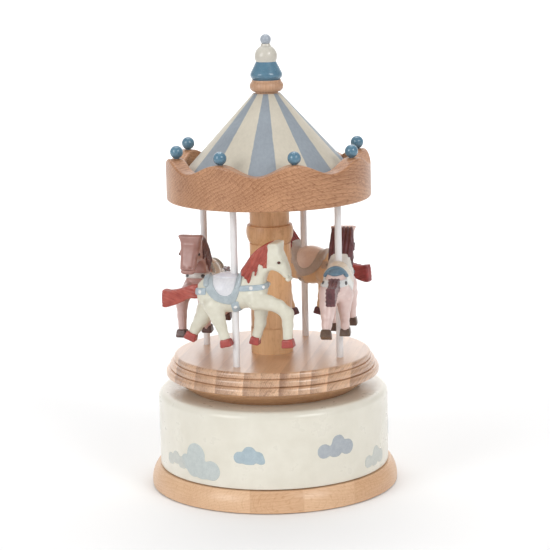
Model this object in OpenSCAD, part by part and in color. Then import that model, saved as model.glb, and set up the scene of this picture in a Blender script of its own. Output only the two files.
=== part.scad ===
// Wind-up carousel music box. The origin is on the turning axis at table level, +Z is up and the
// front faces -Y. All lengths are millimetres. The base stays on the table, the case is turned on it
// to wind the spring, and the spring turns the carousel and, through its gears, the tune cylinder.

/* [Base] */
// Largest radius of the base disc
base_r = 55; // [54.5:0.1:56]
// Height of the top of the base disc above the table
base_top = 9.4; // [9.2:0.05:9.5]
// Radius of the rounded flank of the base disc
base_flank_r = 11.5; // [11:0.1:13]
// Radius of a foot pad
pad_r = 6; // [4:0.5:8]

/* [Case] */
// Outer radius of the drum
drum_r = 51.1; // [50.8:0.1:51.6]
// Thickness of the drum's wall
drum_wall = 7; // [6.8:0.1:7.2]
// Height of the drum's lower edge above the table
drum_bottom = 9.9; // [9.8:0.05:10]
// Height of the drum's flat top above the table
drum_top = 43.3; // [43:0.1:43.6]
// Radius of the rounded upper edge of the drum
drum_edge_r = 3; // [2:0.1:4]
// Thickness of the drum's top board
deck_h = 5; // [4.5:0.1:5.2]
// Thickness of the floor board that closes the drum
floor_h = 3.5; // [3.3:0.1:3.5]
// Largest radius of the spacer disc below the turntable
spacer_r = 44; // [40:0.5:45]

/* [Turntable] */
// Height of the turntable's underside above the table
turntable_bottom = 49.8; // [49.7:0.05:50]
// Height of the turntable's upper face above the table
turntable_top = 58.9; // [58.7:0.1:59.3]
// Radius of the widest, lowest bead on the turntable's edge
turntable_r = 47.4; // [47:0.1:48]
// Step in radius from one edge bead to the next
bead_step = 1.8; // [1.5:0.1:2]

/* [Column] */
// Radius of the column's lower part
column_r = 9.3; // [9:0.1:9.6]
// Height of the column's lower joint above the table
column_joint = 70.6; // [68:0.2:74]
// Radius of the column's turned collar
collar_r = 10.4; // [10:0.1:11]
// Height of the widest line of the collar above the table
collar_z = 113; // [112:0.5:114]

/* [Horses and poles] */
// Distance from the turning axis to each pole
pole_ring_r = 33.4; // [33:0.1:34]
// Radius of a pole
pole_r = 1.5; // [1.4:0.05:1.6]
// Angle of the first pole from the front, seen from above
pole_angle = -27.5; // [-30:0.1:-27]
// Height of the hooves above the turntable
hoof_lift = 9.8; // [9:0.1:11]

/* [Roof] */
// Outer radius of the scalloped roof ring
ring_r = 44.9; // [44.5:0.1:45.3]
// Thickness of the roof ring's wall
ring_wall = 7; // [6.8:0.1:7.2]
// Height of the roof ring's lower edge above the table
ring_bottom = 128.15; // [128:0.05:128.4]
// Height of the scallops' valleys above the table
valley_z = 142.6; // [142:0.1:143]
// Height of the scallops' crests above the table
crest_z = 147.4; // [147:0.1:147.8]
// Angle of the first crest from the front, seen from above
crest_angle = 15.5; // [14:0.5:17]
// Radius of a painted ball on a crest
ball_r = 2.85; // [2.6:0.05:3]
// Height of the roof cone's foot above the table
cone_foot = 139; // [138.8:0.1:139.2]
// Height of the roof cone's top above the table
cone_top = 173.8; // [173.4:0.1:174]
// Radius of the roof cone's top
cone_top_r = 6; // [5.5:0.1:6.5]

/* [Movement] */
// Height of the tune cylinder's axis above the table
tune_z = 26; // [26:0.05:26.1]
// Radius of the tune cylinder without its pins
tune_r = 6.5; // [6.3:0.1:6.5]
// Teeth on the great wheel of the spring barrel
great_teeth = 36; // [36:36:36]
// Teeth on the tune cylinder's pinion
pinion_teeth = 18; // [18:18:18]
// Module of the great wheel and the pinion
great_module = 0.8; // [0.8:0.8:0.8]
// Teeth on the tune cylinder's wheel
wheel_teeth = 36; // [36:36:36]
// Teeth on the governor wheel's pinion
gov_pinion_teeth = 12; // [12:12:12]
// Module of the tune cylinder's wheel and the governor pinion
wheel_module = 0.5; // [0.5:0.5:0.5]
// Teeth on the worm wheel that drives the fan
worm_teeth = 20; // [20:20:20]
// Module of the worm and its wheel
worm_module = 0.42; // [0.42:0.42:0.42]
// Number of teeth on the comb
comb_teeth = 18; // [12:1:18]

/* [Hidden] */
$fn = 96;

// Clearances: a shaft turning in its bore, a piece glued or pressed in, and two discs turning close by
run = 0.05;
glue = 0.02;
slip = 0.3;

// Colours
beech = "burlywood";
beech_light = "wheat";
cream = "oldlace";
sky = "lightslategray";
ball_blue = "steelblue";
brass = "goldenrod";
steel = "silver";
felt = "dimgray";
rod_white = "gainsboro";

// Base: the pads hold the disc just off the table
pad_drop = 0.5;
pad_h = 1.5;
pad_ring_r = 42;
flank_z = 2;
pocket_r = 15;
pocket_floor = 6.6;
flange_r = 14.8;
flange_h = 1.8;
flange_screw_r = 10.5;
arbor_r = 2.5;
arbor_foot = 3;
slip_in = 28;
slip_out = 36;

// Case
cavity_r = drum_r - drum_wall;
deck_under = drum_top - deck_h;
floor_r = 48.3;
floor_top = drum_bottom + floor_h;
floor_screw_ring = 46.3;
spacer_top = 49.2;
spacer_foot_r = 37;
shaft_r = 3;
bush_r = 5;

// Turntable edge: three beads, from the lowest up
bead_h = [3.2, 3.2, turntable_top - turntable_bottom - 6.4];
hub_r = 12.8;
hub_h = 2;
hub_boss_r = 5.5;
hub_boss_top = 55.8;
hub_screw_ring = 9.5;
pole_socket = 2.4;

// Horses, in the order front, right, rear, left: turned about the pole, nose dipped, raised, and set
// forward on the pole. The dip is taken about a horse's waist, at this height above the turntable.
waist = 32;
horse_turn = [10, 19, -5, 11.5];
horse_dip = [0, 5, 4.5, -1];
horse_rise = [0, 1.2, 0.3, -2.2];
horse_advance = [0, 0, -1.3, 0];

// Roof
ring_inner_r = ring_r - ring_wall;
crests = 8;
board_bottom = 129.4;
cone_r = ring_inner_r - 0.1;
ball_ring_r = 41;
ball_z = crest_z + ball_r - 0.1;
rod_r = 2;

// Finial: heights of the joints between the beads
bead_1 = 174.6;
bead_2 = 179.6;
bead_3 = 187.5;
tip_z = 197;
tip_r = 2.4;
dowel_r = 1.2;

// Movement: a crown wheel on the barrel drives the cylinder; spur gears and a worm drive the fan
bed_bottom = 14.4;
bed_top = 16.4;
great_r = great_module * great_teeth / 2;
great_z = tune_z - great_module * pinion_teeth / 2;
barrel_r = 12.6;
barrel_inner_r = 11.6;
barrel_bottom = 17;
barrel_top = 32;
lid_h = 1.2;
tune_x = [18, 36];
wheel_x = [36.4, 37.8];
great_face = [great_r - 1.1, great_r + 1.2];
pinion_x = [great_face[0], great_face[1] - 0.1];
gear_gap = wheel_module * (wheel_teeth + gov_pinion_teeth) / 2;
gov_y = -gear_gap;
worm_x = 28;
worm_pitch_r = 1.6;
worm_wheel_r = worm_module * worm_teeth / 2;
worm_y = gov_y - worm_wheel_r - worm_pitch_r;
comb_x = [18, 36];
comb_tip = tune_r + 0.7;
bed_screws = [[-11, -18.5], [-11, 18.5], [12, -18.5], [12, 18.5]];
comb_screw_x = [22, 32];
gov_screws = [[24, -20.2], [31, -21.2]];

function arc(c, r, from, to, n) =
    [for (i = [0 : n]) let (a = from + (to - from) * i / n) c + r * [cos(a), sin(a)]];

// Two-dimensional gear with straight-flanked teeth. Half angles are taken at the tip, pitch and root.
function gear_points(teeth, m) =
    let (pitch_r = m * teeth / 2, tip_r = pitch_r + 0.8 * m, root_r = pitch_r - 0.95 * m)
    let (step = 360 / teeth)
    [for (i = [0 : teeth - 1], p = [[root_r, -0.34], [pitch_r, -0.2], [tip_r, -0.1],
                                    [tip_r, 0.1], [pitch_r, 0.2], [root_r, 0.34]])
        p[0] * [cos((i + p[1]) * step), sin((i + p[1]) * step)]];

module ring(r_out, r_in, z0, z1) {
    difference() {
        translate([0, 0, z0]) cylinder(r = r_out, h = z1 - z0);
        translate([0, 0, z0 - 1]) cylinder(r = r_in, h = z1 - z0 + 2);
    }
}

module disc(r, z0, z1) {
    translate([0, 0, z0]) cylinder(r = r, h = z1 - z0);
}

module spokes(count, r, first = 0) {
    for (i = [0 : count - 1]) rotate([0, 0, first + i * 360 / count]) translate([0, -r, 0]) children();
}

// A rod along +X from x0 to x1
module rod_x(r, x0, x1, y, z) {
    translate([x0, y, z]) rotate([0, 90, 0]) cylinder(r = r, h = x1 - x0);
}

// A countersunk screw with its head upward and flush with z = 0
module countersunk(shank_r, head_r, length) {
    translate([0, 0, -length]) cylinder(r = shank_r, h = length);
    translate([0, 0, -(head_r - shank_r)]) cylinder(r1 = shank_r, r2 = head_r, h = head_r - shank_r);
}

// A round-headed screw with a slot, its head sitting on z = 0
module round_head(shank_r, head_r, length) {
    translate([0, 0, -length]) cylinder(r = shank_r, h = length);
    difference() {
        cylinder(r = head_r, h = 0.9);
        translate([-head_r, -0.2, 0.5]) cube([2 * head_r, 0.4, 1]);
    }
}

// ---- Base: stays on the table ----

module foot_pads() {
    color(felt) spokes(4, pad_ring_r, 45) cylinder(r = pad_r, h = pad_h);
}

module base_disc() {
    flank_x = base_r - base_flank_r;
    color(beech_light) difference() {
        rotate_extrude() union() {
            translate([0, pad_drop]) square([flank_x, base_top - pad_drop]);
            intersection() {
                translate([flank_x, flank_z]) circle(r = base_flank_r);
                translate([flank_x - 1, pad_drop]) square([base_flank_r + 2, base_top - pad_drop]);
            }
        }
        spokes(4, pad_ring_r, 45) cylinder(r = pad_r + glue, h = pad_h);
        disc(pocket_r, pocket_floor, base_top + 1);
        disc(arbor_r + 0.7, arbor_foot - 0.4, pocket_floor + 1);
        ring(slip_out + 0.1, slip_in - 0.1, base_top - 1, base_top + 1);
        spokes(3, flange_screw_r) disc(1.3 + glue, 2.6, pocket_floor + 1);
    }
}

module wind_flange() {
    top = pocket_floor + flange_h;
    color(steel) difference() {
        disc(flange_r, pocket_floor, top);
        disc(arbor_r + glue, pocket_floor - 1, top + 1);
        spokes(3, flange_screw_r) translate([0, 0, top]) countersunk(1.3 + glue, 2.4 + glue, 3);
    }
}

module wind_flange_screws() {
    top = pocket_floor + flange_h;
    color(steel) spokes(3, flange_screw_r) difference() {
        translate([0, 0, top]) countersunk(1.3, 2.4, 5.6);
        translate([-2.5, -0.25, top - 0.5]) cube([5, 0.5, 1]);
    }
}

module winding_arbor() {
    color(steel) {
        disc(arbor_r, arbor_foot, 30.2);
        disc(3.6, 15.3, 16.8);
        difference() {
            disc(4, 18.4, 29.6);
            translate([3, -0.3, 17]) cube([2, 0.6, 14]);
        }
    }
}

module base_felt_ring() {
    color(felt) ring(slip_out, slip_in, base_top - 1, drum_bottom - slip);
}

// ---- Case: turned by hand on the base to wind ----

module case_drum() {
    color(cream) difference() {
        rotate_extrude() difference() {
            union() {
                translate([0, drum_bottom]) square([drum_r, drum_top - drum_edge_r - drum_bottom]);
                translate([0, drum_bottom]) square([drum_r - drum_edge_r, drum_top - drum_bottom]);
                translate([drum_r - drum_edge_r, drum_top - drum_edge_r]) circle(r = drum_edge_r);
            }
            translate([-1, drum_bottom - 1]) square([cavity_r + 1, deck_under - drum_bottom + 1]);
            translate([-1, drum_bottom - 1]) square([floor_r + 0.1 + 1, floor_h + 1]);
            translate([-1, drum_bottom]) square([bush_r + glue + 1, drum_top]);
        }
        spokes(4, floor_screw_ring, 45) disc(1 + glue, floor_top - 1, 20.4);
    }
}

module case_floor() {
    color(beech) difference() {
        disc(floor_r, drum_bottom, floor_top);
        disc(bush_r + glue, drum_bottom - 1, floor_top + 1);
        spokes(4, floor_screw_ring, 45) mirror([0, 0, 1]) translate([0, 0, -drum_bottom])
            countersunk(1 + glue, 1.7 + glue, floor_h + 1);
        for (p = bed_screws) translate([p[0], p[1], 0]) disc(1.1 + glue, 10.8, floor_top + 1);
    }
}

module case_floor_screws() {
    color(steel) spokes(4, floor_screw_ring, 45) difference() {
        mirror([0, 0, 1]) translate([0, 0, -drum_bottom]) countersunk(1, 1.7, 10);
        translate([-2, -0.2, drum_bottom - 0.6]) cube([4, 0.4, 1]);
    }
}

module floor_bush() {
    color(brass) difference() {
        union() {
            disc(bush_r, drum_bottom, floor_top);
            disc(7, floor_top, floor_top + 0.8);
        }
        disc(arbor_r + run, drum_bottom - 1, floor_top + 2);
    }
}

module spacer_disc() {
    bore_r = bush_r + 1;
    color(beech) rotate_extrude() polygon([
        [bore_r, drum_top], [spacer_foot_r, drum_top], [spacer_r, spacer_top - 0.8],
        [spacer_r, spacer_top], [bore_r, spacer_top]
    ]);
}

module deck_bush() {
    color(brass) difference() {
        union() {
            disc(bush_r, deck_under, 46);
            disc(7.5, deck_under - 1, deck_under);
        }
        disc(shaft_r + run, deck_under - 2, 47);
    }
}

module felt_washer() {
    color(felt) ring(30, 9, spacer_top, turntable_bottom - slip);
}

// The plate carries the comb's block and the ear that holds the inner end of the tune cylinder's arbor
module bedplate() {
    color(steel) difference() {
        union() {
            translate([0, 0, bed_bottom]) linear_extrude(bed_top - bed_bottom) intersection() {
                circle(r = 42.6);
                translate([-14, -23.5]) square([60, 47]);
            }
            for (p = bed_screws) translate([p[0], p[1], 0]) disc(3.2, floor_top, bed_bottom);
            translate([comb_x[0], 16.6, bed_top]) cube([comb_x[1] - comb_x[0], 6.4, 8.4]);
            translate([16.2, -3, bed_top]) cube([1.1, 6, tune_z + 2.4 - bed_top]);
        }
        disc(7.8, bed_bottom - 1, bed_top + 1);
        rod_x(1 + run, 15, 18, 0, tune_z);
        translate([35.8, -9.9, bed_bottom - 1]) cube([2.6, 19.8, 4]);
        for (p = bed_screws) translate([p[0], p[1], 0]) disc(1.1 + glue, 13, bed_top + 1);
        for (x = comb_screw_x) translate([x, 20.6, 0]) disc(0.9 + glue, 20, 26);
        for (y = [-3.5, 3.5]) translate([40.9, y, 0]) disc(0.7 + glue, 15, bed_top + 1);
        for (p = gov_screws) translate([p[0], p[1], 0]) disc(0.7 + glue, 15, bed_top + 1);
    }
}

module bedplate_screws() {
    color(steel) for (p = bed_screws) translate([p[0], p[1], bed_top]) round_head(1.1, 2, 5.5);
}

// Long teeth at the low-note end, short at the high-note end, each with a lead weight below the bass tips
module comb() {
    pitch = (comb_x[1] - comb_x[0]) / comb_teeth;
    root_y = 16.6;
    color(steel) difference() {
        union() {
            translate([comb_x[0], root_y, 24.8]) cube([comb_x[1] - comb_x[0], 6.4, 2.2]);
            for (i = [0 : comb_teeth - 1])
                translate([comb_x[0] + (i + 0.14) * pitch, comb_tip, tune_z - 0.35])
                    cube([0.72 * pitch, root_y - comb_tip + 1, 0.7]);
        }
        for (x = comb_screw_x) translate([x, 20.6, 24]) cylinder(r = 0.9 + glue, h = 4);
    }
}

module comb_screws() {
    color(brass) for (x = comb_screw_x) translate([x, 20.6, 27]) round_head(0.9, 1.7, 6.5);
}

// An ear for the outer ends of the tune cylinder's and the governor wheel's arbors
module end_bracket() {
    color(brass) difference() {
        union() {
            translate([38.6, gov_y - 2.4, bed_top]) cube([1, 5.4 - gov_y, tune_z + 2.4 - bed_top]);
            translate([39.6, -5.5, bed_top]) cube([2.5, 11, 1]);
        }
        rod_x(1 + run, 38, 40, 0, tune_z);
        rod_x(0.7 + run, 38, 40, gov_y, tune_z);
        for (y = [-3.5, 3.5]) translate([40.9, y, 0]) disc(0.7 + glue, bed_top - 1, bed_top + 2);
    }
}

module end_bracket_screws() {
    color(steel) for (y = [-3.5, 3.5]) translate([40.9, y, bed_top + 1]) round_head(0.7, 1.1, 2.2);
}

// Foot, an ear for the governor wheel's arbor, and a post with an arm above the worm
module governor_bracket() {
    foot_top = bed_top + 1;
    color(brass) difference() {
        union() {
            translate([21.6, -23, bed_top]) cube([12.2, 14, foot_top - bed_top]);
            translate([21.6, gov_y - 2, foot_top]) cube([1, 4, tune_z + 1.8 - foot_top]);
            translate([32, worm_y - 1.6, foot_top]) cube([1.6, 3.2, 31.5 - foot_top]);
            translate([worm_x - 2, worm_y - 1.6, 30.5]) cube([35.6 - worm_x, 3.2, 1]);
        }
        rod_x(0.7 + run, 21, 23, gov_y, tune_z);
        translate([worm_x, worm_y, bed_top - 1]) cylinder(r = 0.6 + run, h = 18);
        for (p = gov_screws) translate([p[0], p[1], 0]) disc(0.7 + glue, bed_top - 1, foot_top + 1);
    }
}

module governor_screws() {
    color(steel) for (p = gov_screws) translate([p[0], p[1], bed_top + 1]) round_head(0.7, 1.2, 2.2);
}

// ---- Carousel: turned by the spring ----

// Shell with the crown teeth of the great wheel standing on its lower flange
module spring_barrel() {
    step = 360 / great_teeth;
    pitch = PI * great_module;
    tip_z = great_z + 0.8 * great_module;
    root_z = great_z - great_module;
    color(brass) difference() {
        union() {
            disc(great_face[1] + 0.2, barrel_bottom, root_z);
            disc(barrel_r, barrel_bottom, barrel_top);
            for (i = [0 : great_teeth - 1]) rotate([0, 0, i * step]) translate([great_face[0], 0, 0])
                rotate([90, 0, 90]) linear_extrude(great_face[1] - great_face[0])
                    polygon([[-0.32 * pitch, root_z - 0.2], [0.32 * pitch, root_z - 0.2],
                             [0.32 * pitch, root_z], [0.1 * pitch, tip_z],
                             [-0.1 * pitch, tip_z], [-0.32 * pitch, root_z]]);
        }
        disc(barrel_inner_r, barrel_bottom + 1.2, barrel_top + 1);
        disc(arbor_r + run, barrel_bottom - 1, barrel_bottom + 2);
    }
}

module barrel_lid() {
    color(brass) difference() {
        disc(barrel_inner_r - glue, barrel_top - lid_h, barrel_top);
        disc(shaft_r + glue, barrel_top - lid_h - 1, barrel_top + 1);
    }
}

// A flat strip coiled between the arbor's hub and the barrel's wall
module mainspring() {
    turns = 6;
    steps = 20 * turns;
    strip = 0.35;
    r0 = 4.15;
    r1 = 11.1;
    function coil(i, d) = let (a = 360 * turns * i / steps, r = r0 + (r1 - r0) * i / steps + d)
        [r * cos(a), r * sin(a)];
    color(steel) translate([0, 0, 18.8]) linear_extrude(10.4)
        polygon(concat([for (i = [0 : steps]) coil(i, 0)], [for (i = [steps : -1 : 0]) coil(i, strip)]));
}

module output_shaft() {
    color(steel) disc(shaft_r, barrel_top - lid_h, hub_boss_top - 0.4);
}

module turntable() {
    bead_0 = turntable_bottom;
    bead_1 = bead_0 + bead_h[0];
    bead_2 = bead_1 + bead_h[1];
    color(beech) difference() {
        rotate_extrude() union() {
            edge_bead(turntable_r, bead_0, bead_h[0]);
            edge_bead(turntable_r - bead_step, bead_1, bead_h[1]);
            edge_bead(turntable_r - 2 * bead_step, bead_2, bead_h[2]);
        }
        disc(hub_r + 0.2, turntable_bottom - 1, turntable_bottom + hub_h + 0.2);
        disc(hub_boss_r + glue, turntable_bottom, hub_boss_top);
        disc(rod_r + glue, hub_boss_top - 1, turntable_top + 1);
        spokes(3, hub_screw_ring) disc(1 + glue, turntable_bottom, 56.4);
        spokes(4, pole_ring_r, pole_angle)
            disc(pole_r + glue, turntable_top - pole_socket, turntable_top + 1);
    }
}

// Half section of one tier: a large quarter round above a flat land, and a small one below
module edge_bead(r, z, h) {
    upper_r = 0.5 * h;
    lower_r = 0.16 * h;
    translate([0, z]) square([r - upper_r, h]);
    translate([0, z]) square([r - lower_r, h - upper_r]);
    translate([0, z + lower_r]) square([r, h - upper_r - lower_r]);
    translate([r - upper_r, z + h - upper_r]) circle(r = upper_r);
    translate([r - lower_r, z + lower_r]) circle(r = lower_r);
}

module turntable_hub() {
    color(steel) difference() {
        union() {
            disc(hub_r, turntable_bottom + 0.1, turntable_bottom + 0.1 + hub_h);
            disc(hub_boss_r, turntable_bottom + 0.1, hub_boss_top);
        }
        disc(shaft_r + glue, turntable_bottom - 1, hub_boss_top + 1);
        spokes(3, hub_screw_ring) mirror([0, 0, 1]) translate([0, 0, -turntable_bottom - 0.1])
            countersunk(1 + glue, 1.8 + glue, 3);
    }
}

module hub_screws() {
    color(steel) spokes(3, hub_screw_ring) difference() {
        mirror([0, 0, 1]) translate([0, 0, -turntable_bottom - 0.1]) countersunk(1, 1.8, 6);
        translate([-2, -0.2, turntable_bottom - 0.6]) cube([4, 0.4, 1]);
    }
}

module column_lower() {
    color(beech) difference() {
        rotate_extrude() union() {
            translate([0, turntable_top]) square([column_r, column_joint - turntable_top - 0.4]);
            translate([0, turntable_top]) square([column_r - 0.4, column_joint - turntable_top]);
        }
        disc(rod_r + glue, turntable_top - 1, column_joint + 1);
    }
}

// Plain shaft, a collar with a rounded belly and a narrower neck that meets the roof
module column_upper() {
    shaft_top = collar_z - 5.2;
    neck_bottom = collar_z + 3;
    belly_r = 9;
    color(beech) difference() {
        rotate_extrude() union() {
            translate([0, column_joint]) square([column_r - 0.5, 0.4]);
            translate([0, column_joint + 0.4]) square([column_r - 0.2, shaft_top - column_joint - 0.4]);
            translate([0, shaft_top]) square([column_r - 0.7, neck_bottom - shaft_top]);
            translate([0, neck_bottom]) square([column_r - 0.5, board_bottom - neck_bottom]);
            intersection() {
                translate([collar_r - belly_r, collar_z]) circle(r = belly_r);
                translate([0, shaft_top]) square([collar_r + 1, neck_bottom - shaft_top]);
            }
        }
        disc(rod_r + glue, column_joint - 1, board_bottom + 1);
    }
}

module column_rod() {
    color(steel) disc(rod_r, hub_boss_top + 0.2, 148);
}

module column_nut() {
    color(steel) difference() {
        translate([0, 0, cone_foot]) cylinder(r = 3.9, h = 3.2, $fn = 6);
        disc(rod_r + glue, cone_foot - 1, cone_foot + 4);
    }
}

// Poles and horses stand at four places round the turntable: front, right, rear and left
module station(quarter) {
    rotate([0, 0, pole_angle + 90 * quarter]) translate([0, -pole_ring_r, 0]) children();
}

module pole(quarter) {
    color(rod_white) station(quarter) disc(pole_r, turntable_top - pole_socket + 0.1, board_bottom + 2);
}

module pole_front() { pole(0); }
module pole_right() { pole(1); }
module pole_rear() { pole(2); }
module pole_left() { pole(3); }

// A rounded limb between two points, each [forward, sideways, height above the hooves, radius]
module limb(a, b) {
    hull() {
        translate([a[0], a[1], a[2]]) sphere(r = a[3], $fn = 16);
        translate([b[0], b[1], b[2]]) sphere(r = b[3], $fn = 16);
    }
}

module hoof(x, y, z) {
    translate([x, y, z]) cylinder(r1 = 2.7, r2 = 2.3, h = 3.6, $fn = 16);
}

// A prancing horse that looks along +X, with its shoulders on the Z axis and its hooves near z = 0
module horse_shape() {
    outer = -3.1;
    inner = 3.1;
    // Trunk, chest, neck, mane, head and ears
    limb([-10.3, 0, 22.4, 7], [7.8, 0, 23.6, 6.7]);
    limb([9, 0, 27.5, 6], [16.6, 0, 39.2, 4.6]);
    limb([6.6, 0, 31.6, 3.2], [14.8, 0, 42.6, 3.2]);
    limb([19.2, 0, 40.2, 4.4], [23.2, 0, 32.2, 2.8]);
    limb([17.6, 0, 43.4, 2.4], [19.6, 0, 43.9, 1.8]);
    // Tail
    limb([-18, 0, 22.8, 2.4], [-29.4, 0, 19.2, 3.6]);
    // Hind legs, one under the body and one stretched back
    limb([-8.5, outer + 0.4, 17.4, 4.4], [-4.2, outer, 4, 2.3]);
    limb([-12, inner - 0.4, 19, 4.8], [-19.6, inner, 5, 2.5]);
    // Fore legs, one raised with a bent knee and one planted
    limb([11, outer + 0.4, 20.2, 4.2], [24, outer, 15.4, 3]);
    limb([24, outer, 15.4, 3], [24.2, outer, 3.8, 2.2]);
    limb([11.2, inner - 0.4, 18, 3.8], [8.4, inner, 3.8, 2.3]);
    hoof(-3.4, outer, -0.4);
    hoof(-21.6, inner, -0.3);
    hoof(24.4, outer, 0.5);
    hoof(7.8, inner, -0.1);
}

// A horse sits on its pole a little turned, tipped and raised, each in its own way
module horse(coat, quarter) {
    color(coat) station(quarter)
        translate([0, 0, turntable_top + waist + horse_rise[quarter]]) difference() {
            rotate([0, 0, horse_turn[quarter]]) rotate([0, horse_dip[quarter], 0])
                translate([horse_advance[quarter], 0, hoof_lift - waist]) horse_shape();
            cylinder(r = pole_r + 0.06, h = 100, center = true, $fn = 24);
        }
}

module horse_front() { horse("ivory", 0); }
module horse_right() { horse("mistyrose", 1); }
module horse_rear() { horse("tan", 2); }
module horse_left() { horse("rosybrown", 3); }

// A wall with an evenly waved upper edge. Each section is a closed outline with small rounded corners.
module roof_ring() {
    sections = 144;
    corner = 1;
    corner_steps = 3;
    middle = (crest_z + valley_z) / 2;
    swing = (crest_z - valley_z) / 2;
    function wave(a) = middle + swing * cos(crests * (a - crest_angle));
    function outline(top) = concat(
        arc([ring_inner_r + corner / 2, ring_bottom + corner / 2], corner / 2, 180, 270, 1),
        arc([ring_r - corner, ring_bottom + corner], corner, 270, 360, corner_steps),
        arc([ring_r - corner, top - corner], corner, 0, 90, corner_steps),
        arc([ring_inner_r + corner, top - corner], corner, 90, 180, corner_steps));
    m = len(outline(0));
    points = [for (i = [0 : sections - 1], p = outline(wave(i * 360 / sections)))
        let (a = i * 360 / sections - 90) [p[0] * cos(a), p[0] * sin(a), p[1]]];
    function at(i, j) = (i % sections) * m + (j % m);
    faces = [for (i = [0 : sections - 1], j = [0 : m - 1], far = [false, true])
        far ? [at(i, j), at(i + 1, j + 1), at(i + 1, j)] : [at(i, j), at(i, j + 1), at(i + 1, j + 1)]];
    color(beech) polyhedron(points, faces, convexity = 6);
}

module roof_board() {
    color(beech_light) difference() {
        disc(ring_inner_r - 0.02, board_bottom, cone_foot);
        disc(rod_r + glue, board_bottom - 1, cone_foot + 1);
        spokes(4, pole_ring_r, pole_angle) disc(pole_r + glue, board_bottom - 1, board_bottom + 2.2);
    }
}

module roof_cone() {
    color(sky) difference() {
        translate([0, 0, cone_foot]) cylinder(r1 = cone_r, r2 = cone_top_r, h = cone_top - cone_foot);
        disc(4.6, cone_foot - 1, cone_foot + 4);
        disc(rod_r + 0.2, cone_foot, 150);
        disc(dowel_r + glue, 164, cone_top + 1);
    }
}

// Each ball has a short peg that is glued into its crest
module crown_balls() {
    color(ball_blue) spokes(crests, ball_ring_r, crest_angle) {
        translate([0, 0, ball_z]) sphere(r = ball_r);
        disc(1.1, crest_z - 2.4, ball_z);
    }
}

module finial_dowel() {
    color(beech_light) disc(dowel_r, 164.4, tip_z - 1.4);
}

// Solid of revolution through [radius, height] points, bored for the dowel
module turned_bead(profile) {
    bottom = profile[0][1];
    top = profile[len(profile) - 1][1];
    difference() {
        rotate_extrude() polygon(concat([[0, bottom]], profile, [[0, top]]));
        disc(dowel_r + glue, bottom - 1, top + 1);
    }
}

module finial_wood_bead() {
    neck_r = 5;
    color(beech) turned_bead(concat([[neck_r, cone_top], [neck_r, bead_1]],
                                    arc([4.9, bead_1 + 2.3], 2.5, -66, 50, 10), [[6.45, bead_2]]));
}

module finial_blue_bead() {
    color(ball_blue) turned_bead(concat([[5.9, bead_2]], arc([4.9, bead_2 + 2.2], 2.15, -55, 28, 8),
                                        [[4.45, bead_3]]));
}

module finial_cream_bead() {
    color(cream) turned_bead(concat([[4.5, bead_3]], arc([0, bead_3 + 2.3], 4.95, -22, 62, 10),
                                    [[2, tip_z - tip_r + 0.6]]));
}

module finial_tip_ball() {
    color(sky) difference() {
        translate([0, 0, tip_z]) sphere(r = tip_r);
        disc(dowel_r + glue, tip_z - tip_r - 1, tip_z - 1.2);
        disc(2.2, tip_z - tip_r - 1, tip_z - tip_r + 0.6);
    }
}

// ---- Tune cylinder ----

module tune_cylinder() {
    pitch = (comb_x[1] - comb_x[0]) / comb_teeth;
    color(brass) difference() {
        union() {
            rod_x(tune_r, tune_x[0], tune_x[1], 0, tune_z);
            for (i = [0 : comb_teeth - 1], k = [0 : 2])
                translate([comb_x[0] + (i + 0.5) * pitch, 0, tune_z]) rotate([i * 97 + k * 131, 0, 0])
                    translate([0, 0, tune_r - 1]) cylinder(r = 0.18, h = 1.4, $fn = 16);
        }
        rod_x(1 + glue, 17, 37, 0, tune_z);
    }
}

module tune_arbor() {
    color(steel) rod_x(1, 12.9, 40.2, 0, tune_z);
}

// Spur gear on an axis along +X. Its first tooth points along +Y, and turn swings it about the axis.
module spur_x(teeth, m, x, z, y, bore, turn) {
    translate([x[0], y, z]) rotate([turn, 0, 0]) rotate([90, 0, 90]) difference() {
        linear_extrude(x[1] - x[0]) polygon(gear_points(teeth, m));
        translate([0, 0, -1]) cylinder(r = bore, h = x[1] - x[0] + 2);
    }
}

module tune_pinion() {
    color(brass) spur_x(pinion_teeth, great_module, pinion_x, tune_z, 0, 1 + glue, 0);
}

module tune_wheel() {
    color(brass) spur_x(wheel_teeth, wheel_module, wheel_x, tune_z, 0, 1 + glue, 0);
}

// ---- Governor ----

// The pinion that meets the tune cylinder's wheel and the worm wheel, cut on one sleeve
module governor_wheel() {
    small = [36.3, 37.9];
    large = [worm_x - 0.5, worm_x + 0.5];
    bore = 0.7 + glue;
    color(brass) {
        spur_x(gov_pinion_teeth, wheel_module, small, tune_z, gov_y, bore, 180 / gov_pinion_teeth);
        spur_x(worm_teeth, worm_module, large, tune_z, gov_y, bore, 0);
        difference() {
            rod_x(1.4, large[1], small[0], gov_y, tune_z);
            rod_x(bore, large[0], small[1], gov_y, tune_z);
        }
    }
}

module governor_arbor() {
    color(steel) rod_x(0.7, 21.4, 40.2, gov_y, tune_z);
}

// A round thread: a circle set off its axis and twisted one turn per pitch
module worm() {
    pitch = PI * worm_module;
    length = 5 * pitch;
    throw = 0.38;
    color(steel) {
        translate([worm_x, worm_y, tune_z - length / 2]) rotate([0, 0, 90])
            linear_extrude(length, twist = -360 * 5, slices = 16 * 5, $fn = 16)
                translate([throw, 0]) circle(r = worm_pitch_r - 0.05);
        translate([worm_x, worm_y, bed_top + 0.1]) cylinder(r = 0.6, h = 37.2 - bed_top);
    }
}

module fan() {
    bottom = 32.2;
    color(brass) translate([worm_x, worm_y, 0]) difference() {
        union() {
            disc(1.3, bottom, bottom + 4.4);
            translate([-5.6, -0.25, bottom + 0.4]) cube([11.2, 0.5, 4]);
        }
        disc(0.6 + glue, bottom - 1, bottom + 6);
    }
}

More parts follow.
